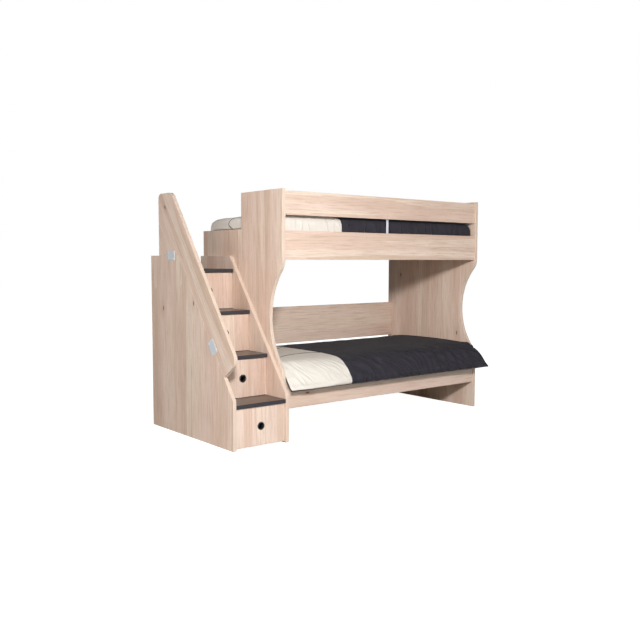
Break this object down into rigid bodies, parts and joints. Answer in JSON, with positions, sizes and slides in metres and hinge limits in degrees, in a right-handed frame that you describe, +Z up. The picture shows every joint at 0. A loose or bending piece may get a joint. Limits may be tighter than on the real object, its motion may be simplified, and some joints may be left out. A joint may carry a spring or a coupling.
{
  "type": "bunk bed",
  "caption": "Single-over-single bunk bed of oak-look boards with waved end panels, a slanted handrail and a storage staircase whose drawers slide out under the treads.",
  "frame": {"origin": "bottom centre of the whole object's box, on the floor", "axes": "+X along the bed to the right as seen from its open front, +Y from the front to the wall side, +Z up"},
  "size_m": [2.3748, 1.138, 1.65],
  "materials": {
    "oak_board": "light oak-look melamine on chipboard, satin, with paler edge bands",
    "tread_board": "charcoal melamine on chipboard, satin",
    "pine": "planed softwood",
    "drawer_board": "light melamine on thin chipboard, satin",
    "steel": "zinc plated",
    "strap_metal": "anodised flat bar",
    "runner_steel": "white powder coat",
    "nylon": "moulded",
    "pull_plastic": "moulded, near black",
    "mattress_ticking": "woven ticking",
    "duvet_cotton": "woven cotton in cream and charcoal"
  },
  "bodies": {
    "bed": {"front_guard_rail": "oak_board", "upper_front_rail": "oak_board", "lower_front_rail": "oak_board", "upper_back_rail": "oak_board", "lower_back_rail": "oak_board", "lower_back_board": "oak_board", "stair_outer_side": "oak_board", "stair_inner_side": "oak_board", "handrail_panel": "oak_board", "left_front_end_panel": "oak_board", "left_rear_end_panel": "oak_board", "right_front_end_panel": "oak_board", "right_rear_end_panel": "oak_board", "stair_back_panel": "oak_board", "tread_1": "tread_board", "tread_2": "tread_board", "tread_3": "tread_board", "tread_4": "tread_board", "slat_bearers": "pine", "end_cleats": "pine", "upper_slats": "pine", "lower_slats": "pine", "joining_plates": "steel", "plate_screws": "steel", "strap_screws": "steel", "stair_tie_bolts": "steel", "cam_locks": "steel", "cam_bolts": "steel", "guard_strap": "strap_metal", "runner_channels": "runner_steel", "upper_mattress": "mattress_ticking", "lower_mattress": "mattress_ticking", "upper_duvet": "duvet_cotton", "lower_duvet": "duvet_cotton"},
    "drawer_1": {"drawer_1_front": "oak_board", "drawer_1_box": "drawer_board", "drawer_1_pull_ring": "pull_plastic", "drawer_1_runner_strips": "runner_steel"},
    "drawer_1_front_rollers": {"drawer_1_front_rollers": "nylon"},
    "drawer_1_rear_rollers": {"drawer_1_rear_rollers": "nylon"},
    "drawer_2": {"drawer_2_front": "oak_board", "drawer_2_box": "drawer_board", "drawer_2_pull_ring": "pull_plastic", "drawer_2_runner_strips": "runner_steel"},
    "drawer_2_front_rollers": {"drawer_2_front_rollers": "nylon"},
    "drawer_2_rear_rollers": {"drawer_2_rear_rollers": "nylon"},
    "drawer_3": {"drawer_3_front": "oak_board", "drawer_3_box": "drawer_board", "drawer_3_pull_ring": "pull_plastic", "drawer_3_runner_strips": "runner_steel"},
    "drawer_3_front_rollers": {"drawer_3_front_rollers": "nylon"},
    "drawer_3_rear_rollers": {"drawer_3_rear_rollers": "nylon"},
    "drawer_4": {"drawer_4_front": "oak_board", "drawer_4_box": "drawer_board", "drawer_4_pull_ring": "pull_plastic", "drawer_4_runner_strips": "runner_steel"},
    "drawer_4_front_rollers": {"drawer_4_front_rollers": "nylon"},
    "drawer_4_rear_rollers": {"drawer_4_rear_rollers": "nylon"}
  },
  "joints": [
    {"name": "drawer_1_slide", "type": "slide", "parent": "bed", "child": "drawer_1", "axis": [0, -1, 0], "range_m": [0, 0.3]},
    {"name": "drawer_1_front_roller_spin", "type": "hinge", "parent": "bed", "child": "drawer_1_front_rollers", "pos_m": [-0.97, -0.453, 0.043], "axis": [1, 0, 0], "range_deg": [-10, 1800]},
    {"name": "drawer_1_rear_roller_spin", "type": "hinge", "parent": "drawer_1", "child": "drawer_1_rear_rollers", "pos_m": [-0.97, -0.087, 0.04], "axis": [1, 0, 0], "range_deg": [-10, 1800]},
    {"name": "drawer_2_slide", "type": "slide", "parent": "bed", "child": "drawer_2", "axis": [0, -1, 0], "range_m": [0, 0.3]},
    {"name": "drawer_2_front_roller_spin", "type": "hinge", "parent": "bed", "child": "drawer_2_front_rollers", "pos_m": [-0.97, -0.2465, 0.321], "axis": [1, 0, 0], "range_deg": [-10, 1800]},
    {"name": "drawer_2_rear_roller_spin", "type": "hinge", "parent": "drawer_2", "child": "drawer_2_rear_rollers", "pos_m": [-0.97, 0.1195, 0.318], "axis": [1, 0, 0], "range_deg": [-10, 1800]},
    {"name": "drawer_3_slide", "type": "slide", "parent": "bed", "child": "drawer_3", "axis": [0, -1, 0], "range_m": [0, 0.3]},
    {"name": "drawer_3_front_roller_spin", "type": "hinge", "parent": "bed", "child": "drawer_3_front_rollers", "pos_m": [-0.97, -0.04, 0.6], "axis": [1, 0, 0], "range_deg": [-10, 1800]},
    {"name": "drawer_3_rear_roller_spin", "type": "hinge", "parent": "drawer_3", "child": "drawer_3_rear_rollers", "pos_m": [-0.97, 0.326, 0.597], "axis": [1, 0, 0], "range_deg": [-10, 1800]},
    {"name": "drawer_4_slide", "type": "slide", "parent": "bed", "child": "drawer_4", "axis": [0, -1, 0], "range_m": [0, 0.3]},
    {"name": "drawer_4_front_roller_spin", "type": "hinge", "parent": "bed", "child": "drawer_4_front_rollers", "pos_m": [-0.97, 0.1665, 0.879], "axis": [1, 0, 0], "range_deg": [-10, 1800]},
    {"name": "drawer_4_rear_roller_spin", "type": "hinge", "parent": "drawer_4", "child": "drawer_4_rear_rollers", "pos_m": [-0.97, 0.5325, 0.876], "axis": [1, 0, 0], "range_deg": [-10, 1800]}
  ],
  "couplings": [
    {"joint": "drawer_1_front_roller_spin", "follows": "drawer_1_slide", "rad_per_m": 103.09},
    {"joint": "drawer_1_rear_roller_spin", "follows": "drawer_1_slide", "rad_per_m": 103.09},
    {"joint": "drawer_2_front_roller_spin", "follows": "drawer_2_slide", "rad_per_m": 103.09},
    {"joint": "drawer_2_rear_roller_spin", "follows": "drawer_2_slide", "rad_per_m": 103.09},
    {"joint": "drawer_3_front_roller_spin", "follows": "drawer_3_slide", "rad_per_m": 103.09},
    {"joint": "drawer_3_rear_roller_spin", "follows": "drawer_3_slide", "rad_per_m": 103.09},
    {"joint": "drawer_4_front_roller_spin", "follows": "drawer_4_slide", "rad_per_m": 103.09},
    {"joint": "drawer_4_rear_roller_spin", "follows": "drawer_4_slide", "rad_per_m": 103.09}
  ]
}
